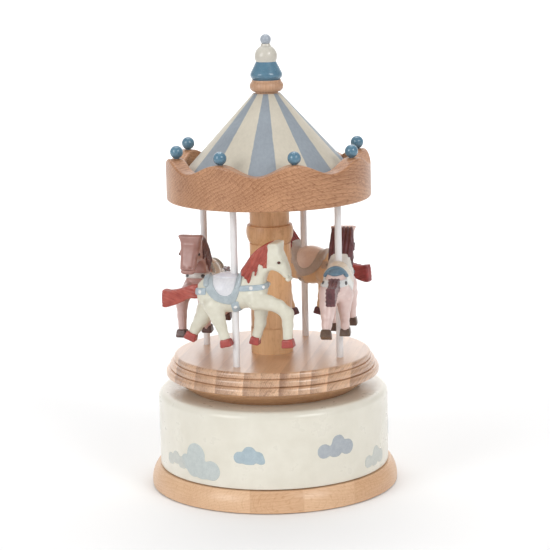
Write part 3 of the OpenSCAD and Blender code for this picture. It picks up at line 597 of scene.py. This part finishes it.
def horse_tack(parts, g, even):
    """Adds saddle, cloth, straps, studs and eyes, which lie on the body's surface."""
    blanket = smooth_max(shell(even, 0.55, 0.5, 0.3), g.flat_field(BLANKET), 0.3)
    blanket = smooth_max(blanket, -(g.flat_field(PATCH) + 0.1), 0.3)
    parts["blanket"] = g.skin(blanket)
    patch = smooth_max(shell(even, 0.35, 0.6, 0.25), g.flat_field(PATCH) - 0.15, 0.2)
    parts["patch"] = g.skin(patch)
    for part, centre, lean, half, proud in ARCHES:
        arch = np.abs(g.x - centre - lean * (g.z - 38)) - half
        rim = smooth_max(shell(even, proud, 0.6, 0.6), arch, 0.8)
        parts[part] = g.skin(smooth_max(rim, 35.6 - g.z, 0.8))
    cap = smooth_max(shell(even, 0.8, 0.6, 0.5), 36.4 - g.z + 0.05 * g.y * g.y, 0.8)
    parts["cap"] = g.skin(smooth_max(cap, g.x + 11.8, 0.6))
    seat = smooth_max(shell(even, 0.5, 0.6, 0.4), np.abs(g.x + 4.2) - 6.6, 1.0)
    parts["seat"] = g.skin(smooth_max(seat, 39.3 - g.z, 0.6))
    strap = shell(even, 0.5, 0.5, 0.3)
    bands = [  # below 0 within the strap's width, and below 0 on its side of its end
        (np.abs(g.z - 35.7 - 0.08 * (g.x - 7)) - 1.25, 3.6 - g.x),     # round the breast
        (np.abs(g.z - 33.6 - 0.12 * (g.x + 12)) - 1.5, g.x + 11.4),    # round the rump
        (np.abs(g.x - 1.5) - 1.7, g.z - 29.8),                         # below the belly
    ]
    breast, rump, girth = (
        smooth_max(smooth_max(strap, band, 0.3), end, 0.3) for band, end in bands)
    parts["straps"] = g.skin(np.minimum(np.minimum(breast, rump), girth))
    studs = None
    eyes = None
    for side in (-1, 1):
        for x, z, r in ((9.0, 35.9, 1.0), (-14.2, 33.3, 0.95), (1.5, 27.4, 1.0)):
            bead = g.ball((x, surface(g, even, x, z, side) + side * 0.35, z), (r, 0.75, r))
            studs = bead if studs is None else np.minimum(studs, bead)
        ahead = chest(g, even, side * 3.4, 36.2) + 0.1
        studs = np.minimum(studs, g.ball((ahead, side * 3.5, 36.2), (0.95, 0.95, 0.95)))
        out = surface(g, even, 21.4, 47.1, side) + side * 0.02
        eye = g.ball((21.4, out, 47.1), (0.95, 0.5, 0.7))
        eyes = eye if eyes is None else np.minimum(eyes, eye)
    parts["studs"] = g.skin(studs)
    parts["eyes"] = g.skin(eyes)


def surface(g, field, x, z, side):
    """How far out a field's surface lies, sideways from the middle, at x and z."""
    i = int(round((x - g.low[0]) / g.step[0]))
    k = int(round((z - g.low[2]) / g.step[2]))
    column = field[i, :, k]
    out = g.axes[1] * side
    order = np.argsort(out)
    out, column = out[order], column[order]
    found = np.where((column[:-1] < 0) & (column[1:] >= 0) & (out[:-1] > 0))[0]
    j = found[-1]
    return side * (out[j] + (out[j + 1] - out[j]) * column[j] / (column[j] - column[j + 1]))


def chest(g, field, y, z):
    """How far forward the chest's surface lies, at y and z."""
    j = int(round((y - g.low[1]) / g.step[1]))
    k = int(round((z - g.low[2]) / g.step[2]))
    row = field[:, j, k]
    found = np.where((row[:-1] < 0) & (row[1:] >= 0) & (g.axes[0][:-1] < 18))[0]
    i = found[-1]
    return g.axes[0][i] + g.step[0] * row[i] / (row[i] - row[i + 1])


def horse_hair(parts):
    """Adds the mane, which covers the crest and hangs on both sides, and the tail. Both are grooved
    with wavy locks."""
    g = Grid((2.6, -6.6, 35), (19.5, 6.6, 57.2), HAIR_STEP)
    lean = math.radians(64)
    across = g.x * math.sin(lean) - g.z * math.cos(lean)
    locks = 0.22 * np.sin(2 * math.pi * across / 1.75 + 0.5 * np.sin(0.5 * g.z))
    ridges = 0.22 * np.sin(2 * math.pi * g.y / 1.7 + 0.8 * np.sin(0.4 * g.z))
    near_crest = np.clip(1.5 + g.flat_field(MANE) / 1.2, 0, 1)
    half = 5.05 - 0.35 * np.clip((g.z - 47) / 7, 0, 1)
    parts["mane"] = g.skin(g.slab(MANE, half + locks, 0.7) + ridges * near_crest)
    t = Grid((-34.5, -3.5, 21), (-16, 3.5, 36), HAIR_STEP)
    waves = 0.14 * np.sin(2 * math.pi * (t.z + 0.42 * t.x + 0.5 * np.sin(0.5 * t.x)) / 1.7)
    root = np.clip((t.x + 22) / 6, 0, 1)
    tail = t.slab(TAIL, 2.05 + 0.5 * root + waves, 0.8)
    grooves = 0.16 * np.sin(2 * math.pi * t.y / 1.5) * np.clip((t.x + 34) / 3, 0, 1)
    parts["tail"] = t.skin(tail + grooves)


PARTS, BODY_GRID, BODY_FIELD = carve_horse()
horse_tack(PARTS, BODY_GRID, BODY_FIELD)
horse_hair(PARTS)

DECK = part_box("turntable")[1].z / MM   # height of the turntable's top
STATION = 33.4                         # the poles' distance from the axis
FIRST_QUARTER = -27.5                  # turn in degrees from the front to the first pole
WAIST = 32.0                           # height on a horse of the point that it dips about

# quarter is which pole a horse is on. twist and dip turn it about its pole's axis and nose down, in
# degrees. lift and advance move it up and forward in mm. Each colour is a pair that the paint
# drifts between, and legs is what the body's colour fades to.
COATS = {
    "front": dict(
        quarter=0, twist=10, dip=0, lift=0, advance=0, slot="white_horse_paint",
        body=((222, 219, 203), (205, 200, 180)), hair=((178, 84, 68), (148, 54, 42)),
        hooves=((176, 74, 66), (140, 52, 46)), blanket=((175, 185, 189), (153, 165, 171)),
        patch=((222, 222, 225), (206, 206, 212)), seat=((224, 224, 230), (208, 208, 218)),
        pommel=((175, 185, 189), (153, 165, 171)), cantle=((175, 185, 189), (153, 165, 171)),
        straps=((178, 190, 196), (156, 172, 182)),
        studs=((236, 236, 234), (214, 214, 212)), eyes=((92, 48, 38), (50, 26, 22))),
    "right": dict(
        quarter=1, twist=19, dip=5, lift=1.2, advance=0, slot="pink_horse_paint",
        body=((226, 202, 196), (208, 176, 168)), hair=((110, 62, 66), (74, 38, 42)),
        hooves=((104, 84, 66), (74, 48, 42)), blanket=((228, 226, 220), (206, 208, 206)),
        patch=((226, 216, 200), (208, 196, 178)), seat=((222, 206, 184), (202, 182, 156)),
        pommel=((226, 222, 214), (206, 202, 196)), cantle=((104, 132, 148), (80, 110, 130)),
        cap=((104, 132, 148), (80, 110, 130)),
        straps=((226, 224, 220), (200, 202, 204)),
        studs=((96, 92, 92), (60, 56, 56)), eyes=((70, 44, 38), (40, 24, 22))),
    "rear": dict(
        quarter=2, twist=-5, dip=4.5, lift=0.3, advance=-1.3, slot="tan_horse_paint",
        body=((234, 202, 162), (216, 180, 140)), hair=((164, 66, 62), (120, 44, 44)),
        hooves=((104, 46, 52), (72, 30, 36)), blanket=((198, 186, 176), (180, 168, 157)),
        patch=((240, 220, 206), (226, 202, 186)), seat=((240, 220, 206), (226, 202, 186)),
        pommel=((198, 186, 176), (180, 168, 157)), cantle=((198, 186, 176), (180, 168, 157)),
        straps=((206, 186, 166), (186, 164, 144)),
        studs=((176, 168, 158), (140, 130, 120)), eyes=((60, 36, 32), (36, 22, 20))),
    "left": dict(
        quarter=3, twist=11.5, dip=-1, lift=-2.2, advance=0, slot="rose_horse_paint",
        body=((180, 138, 129), (162, 116, 107)), legs=(212, 182, 176),
        hair=((128, 80, 76), (72, 42, 42)),
        hooves=((98, 66, 60), (62, 38, 36)), blanket=((220, 218, 210), (196, 196, 190)),
        patch=((222, 214, 200), (200, 190, 172)), seat=((212, 188, 152), (190, 160, 122)),
        pommel=((214, 214, 206), (120, 116, 110)), cantle=((214, 214, 206), (120, 116, 110)),
        straps=((212, 208, 202), (186, 182, 178)),
        studs=((86, 80, 78), (54, 50, 50)), eyes=((60, 36, 32), (36, 22, 20))),
}


TRIM = ("hooves", "blanket", "patch", "seat", "pommel", "cantle", "straps", "studs", "eyes", "cap")
GLOSSY = ("studs", "eyes")
# hair paint, with strong painted shade in its grooves
HAIR_LOOK = dict(scale=0.3, mottle=0.9, grain=0.08, hollow_shade=0.6, roughness=0.42)


def horse_materials(side, coat):
    """One paint for each part that this horse has."""

    def brushed(part, tones, **more):
        return paint(f"{side}_{part}_paint", *tones, seed=coat["quarter"] + 1.0, **more)

    made = {
        "body": brushed("body", coat["body"], scale=0.12, mottle=0.5, roughness=0.36, grain=0.05,
                        low=coat.get("legs")),
        "mane": brushed("hair", coat["hair"], streak=(0.75, 0.1, 0.6), **HAIR_LOOK),
        "tail": brushed("tail", coat["hair"], streak=(0.92, 0.0, -0.38), **HAIR_LOOK),
    }
    for part in TRIM:
        if part in coat:
            made[part] = brushed(part, coat[part], scale=0.3, mottle=0.7, grain=0.03,
                                 roughness=0.2 if part in GLOSSY else 0.38)
    return made


def place_horses():
    """Puts a horse on each pole. Its body stands in for the plain solid of the CAD."""
    for side, coat in COATS.items():
        turn = Matrix.Rotation(math.radians(FIRST_QUARTER + 90 * coat["quarter"]), 4, "Z")
        spot = turn @ Matrix.Translation((0, -STATION * MM, (DECK + WAIST + coat["lift"]) * MM))
        spot = spot @ Matrix.Rotation(math.radians(coat["twist"]), 4, "Z")
        spot = spot @ Matrix.Rotation(math.radians(coat["dip"]), 4, "Y")
        spot = spot @ Matrix.Translation((coat["advance"] * MM, 0, -WAIST * MM))
        materials = horse_materials(side, coat)
        for part, (points, faces) in PARTS.items():
            if part not in materials:
                continue
            piece = mesh_object(f"horse_{side}_{part}", points, faces, materials[part])
            piece.matrix_world = spot
            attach(piece, "carousel")
            if part == "body":
                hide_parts(f"horse_{side}")


place_horses()

# ---------------------------------------------------------------- clouds painted on the drum

# Each shape is its blobs, as (x, z, radius) in mm, and the height of its underside.
CLOUD_SHAPES = {
    "puffy": ([(-1.3, 3.4, 5.2), (7.1, -2.5, 4.4), (-7.5, -0.5, 3.3), (-2.6, -2.0, 4.6),
               (2.2, -2.8, 4.3)], -7.2),
    "small": ([(0.1, 1.6, 2.9), (-4.2, -0.6, 2.7), (3.9, -0.1, 2.4), (0, -1.6, 3.0),
               (5.2, -2.0, 1.7)], -3.6),
    "long": ([(1.8, 2.4, 3.2), (6.4, -0.4, 3.4), (-5.2, -0.8, 3.2), (0.3, -1.0, 3.3)], -4.3),
    "flat": ([(-5.2, -0.8, 2.8), (-0.5, 0.7, 2.9), (4.2, -0.8, 2.9)], -3.5),
}


CLOUD_MIDDLE = -0.12   # where the middle of a cloud's thickness lies, in mm out of the drum's side
CLOUD_HALF = 0.24      # half of its thickness


def cloud(name, azimuth, level, shape, size, flip, material):
    """A thin raised cloud on the drum's side: round blobs with a nearly flat underside. azimuth is
    in degrees from the front towards +X, level its height in mm, and flip -1 for a mirrored one."""
    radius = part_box("case_drum")[1].x / MM
    blobs, floor = CLOUD_SHAPES[shape]
    wide, high = 12 * size, 9 * size
    g = Grid((-wide, -0.45, -high), (wide, 0.35, high), (0.35, 0.08, 0.35))
    field = None
    for x, z, r in blobs:
        ring = np.hypot(g.x - flip * x * size, g.z - z * size) - r * size
        field = ring if field is None else smooth_min(field, ring, 1.2)
    field = smooth_max(field, floor * size - g.z, 1.0)
    field = smooth_max(field, np.abs(g.y - CLOUD_MIDDLE) - CLOUD_HALF, 0.12)
    points, faces = g.skin(field)
    turn = math.radians(azimuth) + points[:, 0] / radius
    out = radius + points[:, 1]
    bent = np.stack([out * np.sin(turn), -out * np.cos(turn), level + points[:, 2]], axis=1)
    piece = mesh_object(name, bent, faces, material)
    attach(piece, "case")


def cloud_paint(name, first, second):
    return paint(name, first, second, roughness=0.6, coat=0.0, mottle=0.9, scale=0.5, grain=0.05,
                 wear_and_highlight=0.0)


pale_cloud = cloud_paint("pale_cloud_paint", (200, 207, 205), (188, 196, 195))
faint_cloud = cloud_paint("faint_cloud_paint", (208, 210, 204), (198, 201, 196))
blue_cloud = cloud_paint("blue_cloud_paint", (178, 194, 201), (164, 181, 190))
grey_cloud = cloud_paint("grey_cloud_paint", (180, 186, 190), (166, 172, 180))
CLOUDS = [  # tag, azimuth, level, shape, size, flip, paint
    ("a", -56.5, 17.8, "flat", 1.0, 1, faint_cloud),
    ("b", -40.2, 18.9, "puffy", 1.0, 1, pale_cloud),
    ("c", -12.2, 24.3, "small", 1.0, 1, blue_cloud), ("d", 30.5, 25.7, "long", 1.0, 1, grey_cloud),
    ("e", 58.5, 16.1, "long", 0.9, 1, faint_cloud), ("f", 94, 24, "small", 1.1, -1, blue_cloud),
    ("g", 126, 19, "long", 1.0, -1, grey_cloud), ("h", 158, 24, "puffy", 0.9, 1, pale_cloud),
    ("i", 188, 20, "small", 1.1, 1, blue_cloud), ("j", 214, 26, "long", 0.95, 1, grey_cloud),
    ("k", 240, 20, "puffy", 0.85, -1, pale_cloud), ("l", 265, 26, "small", 0.9, -1, blue_cloud),
]
for tag, azimuth, level, shape, size, flip, material in CLOUDS:
    cloud(f"cloud_{tag}", azimuth, level, shape, size, flip, material)

# ---------------------------------------------------------------- finishes of the CAD nodes

# The glued boards, as (edge in mm, (tone at that edge, tone at the next one)), 0 pale and 1 deep.
TURNTABLE_EDGES = [
    (-48, (0.35, 0.55)), (-38, (0.85, 0.25)), (-27, (0.90, 0.25)), (-16.8, (0.85, 0.20)),
    (-4.1, (0.95, 0.35)), (3.1, (0.70, 0.30)), (11.3, (0.95, 0.20)), (19.4, (0.85, 0.25)),
    (23.8, (0.90, 0.15)), (30.3, (0.65, 0.25)), (38.9, (0.70, 0.35)),
]
BASE_EDGES = [
    (-56, (0.40, 0.50)), (-36, (0.45, 0.35)), (-25, (0.30, 0.25)), (-11, (0.60, 0.55)),
    (12, (0.25, 0.30)), (34, (0.60, 0.50)),
]
BOARD_TURN = math.radians(11)
BOARD_AXIS = (math.cos(BOARD_TURN), -math.sin(BOARD_TURN), 0)
BOARD_RUN = (math.sin(BOARD_TURN), math.cos(BOARD_TURN), 0)

base_wood = wood("base_beech", (0.97, 0.2, 0.0), (0, 0.2, 1), (228, 189, 151), (192, 142, 100),
                 pitch=1.3, strips=BASE_EDGES, strip_axis=(1, 0, 0), contrast=0.8, coat=0.35)
# the turntable's faces that look up carry a painted sheen, their tones evened out
turntable_wood = wood("turntable_beech", BOARD_RUN, (0.3, 0, 1), (236, 192, 152), (142, 96, 62),
                      pitch=1.5, strips=TURNTABLE_EDGES, strip_axis=BOARD_AXIS, coat=1.0,
                      gloss=1.85, soft=0.3, dark=0.1, even=0.6)
column_wood = wood("column_beech", (0, 0, 1), (0.8, 0.6, 0), (238, 193, 144), (194, 140, 94),
                   pitch=3.0, contrast=0.75)
roof_wood = wood("roof_beech", (0.70, 0.70, -0.08), (-0.406, 0.406, 0.819), (202, 151, 111),
                 (144, 94, 60), pitch=1.4, contrast=1.3)
plain_wood = wood("plain_beech", (1, 0.1, 0), (0, 0.3, 1), (206, 160, 118), (166, 116, 76),
                  pitch=1.8)
bead_wood = wood("bead_beech", (0, 0, 1), (1, 0, 0), (210, 170, 138), (160, 114, 84),
                 pitch=1.4, contrast=0.7)
cream = paint("cream_lacquer", (228, 224, 211), (220, 215, 200), roughness=0.30, coat=0.5,
              mottle=0.8, scale=0.03, grain=0.015, wear_and_highlight=0.1, hollow_shade=0.0)
blue = paint("blue_lacquer", (92, 131, 152), (74, 112, 136), roughness=0.22, coat=0.6, mottle=0.7,
             scale=0.3, grain=0.03)
bead_cream = paint("bead_cream", (208, 203, 192), (194, 189, 175), roughness=0.3, coat=0.4,
                   scale=0.3, grain=0.03)
bead_grey = paint("bead_grey_blue", (168, 176, 186), (148, 158, 170), roughness=0.28, coat=0.4,
                  scale=0.4, grain=0.03)
pole_white = paint("pole_white", (229, 227, 227), (214, 212, 212), roughness=0.35, coat=0.3,
                   mottle=0.6, scale=0.2, streak=(0, 0, 1), grain=0.03)
cone_paint = stripes("striped_paint", 8, -14.8, 0.455, (150, 159, 168), (208, 200, 183))
steel = metal("steel", (176, 176, 178), 0.32)
brass = metal("brass", (196, 160, 92), 0.28)
zinc = metal("zinc", (150, 152, 156), 0.42, (0, 0, 1))
grey_felt = felt("felt", (120, 112, 104))

FINISH = {
    "felt": grey_felt, "base_beech": base_wood, "turntable_beech": turntable_wood,
    "column_beech": column_wood, "roof_beech": roof_wood, "plain_beech": plain_wood,
    "bead_beech": bead_wood, "cream_lacquer": cream, "striped_paint": cone_paint,
    "blue_lacquer": blue, "bead_cream": bead_cream, "bead_grey_blue": bead_grey,
    "pole_white": pole_white, "steel": steel, "brass": brass, "zinc": zinc,
}


def finish_nodes():
    """Every CAD node whose packed material slot has a finish in FINISH gets that finish; the others
    keep the material that they were packed with.
    """
    for node in NODES.values():
        slot = node.data.materials[0].name.split(".")[0]
        if slot in FINISH:
            node.data.materials.clear()
            node.data.materials.append(FINISH[slot])


finish_nodes()

# ---------------------------------------------------------------- camera, light and floor

CAMERA_PLACE = (0.0019, -0.850, 0.256)
CAMERA_DIP = 10.85    # degrees that it looks down
CAMERA_ROLL = -1.25   # degrees
SENSOR_MM = 36
LENS_MM = 127.9
MIDDLE = (0, 0, 0.1)
LIGHTS = [  # name, place, what it points at, size in m, power in W
    ("key", (0.8, -1.0, 0.85), MIDDLE, 0.6, 7.0),
    ("fill", (-0.95, -0.85, 0.6), MIDDLE, 0.6, 6.0),
    ("top", (0, 0.1, 1.3), MIDDLE, 0.8, 2),
    ("wall", (0, 0.9, 2.2), (0, 3.0, 0.9), 1.6, 70),
]
WORLD_STRENGTH = 0.44
FLOOR_REACH = 12.0    # m to each side and in front
WALL_FOOT = 2.0       # m behind the object, where the floor starts to curve up
WALL_BEND = 1.0       # radius of the curve, in m
WALL_TOP = 4.0
BEND_STEPS = 12


def add_camera():
    data = bpy.data.cameras.new("camera")
    data.sensor_width = SENSOR_MM
    data.lens = LENS_MM
    data.clip_start = 0.01
    data.clip_end = 50
    camera = add_object("camera", data)
    look = Matrix.Rotation(math.radians(90 - CAMERA_DIP), 4, "X")
    roll = Matrix.Rotation(math.radians(CAMERA_ROLL), 4, "Z")
    camera.matrix_world = Matrix.Translation(CAMERA_PLACE) @ look @ roll
    bpy.context.scene.camera = camera


def add_light(name, place, target, size, power):
    data = bpy.data.lights.new(name, "AREA")
    data.size = size
    data.energy = power
    lamp = add_object(name, data)
    lamp.location = place
    lamp.rotation_euler = (Vector(target) - Vector(place)).to_track_quat("-Z", "Y").to_euler()


def add_floor():
    """A wide pale floor that curves up into a wall a long way behind."""
    points = []
    faces = []
    profile = [(-FLOOR_REACH, 0.0), (WALL_FOOT, 0.0)]
    for k in range(1, BEND_STEPS + 1):
        bend = math.radians(90 * k / BEND_STEPS)
        profile.append((WALL_FOOT + WALL_BEND * math.sin(bend), WALL_BEND * (1.0 - math.cos(bend))))
    profile.append((WALL_FOOT + WALL_BEND, WALL_TOP))
    for y, z in profile:
        points += [(-FLOOR_REACH, y, z), (FLOOR_REACH, y, z)]
    for k in range(len(profile) - 1):
        faces.append((2 * k, 2 * k + 1, 2 * k + 3, 2 * k + 2))
    mesh = bpy.data.meshes.new("studio_floor")
    mesh.from_pydata(points, [], faces)
    mesh.shade_smooth()
    g = Shade("floor", roughness=0.9, specular=0.1)
    tone = g.span(g.noise(g.place(), scale=0.004, detail=2.0), 0.3, 0.7)
    g.set("Base Color", g.blend(tone, (0.90, 0.90, 0.90, 1), (0.94, 0.94, 0.94, 1)))
    mesh.materials.append(g.material)
    made = add_object("studio_floor", mesh)


def set_world():
    world = bpy.data.worlds.new("studio")
    world.use_nodes = True
    background = world.node_tree.nodes["Background"]
    background.inputs["Color"].default_value = (1.0, 1.0, 1.0, 1)
    background.inputs["Strength"].default_value = WORLD_STRENGTH
    bpy.context.scene.world = world
    bpy.context.scene.view_settings.view_transform = "Standard"


add_camera()
add_floor()
set_world()
for light in LIGHTS:
    add_light(*light)
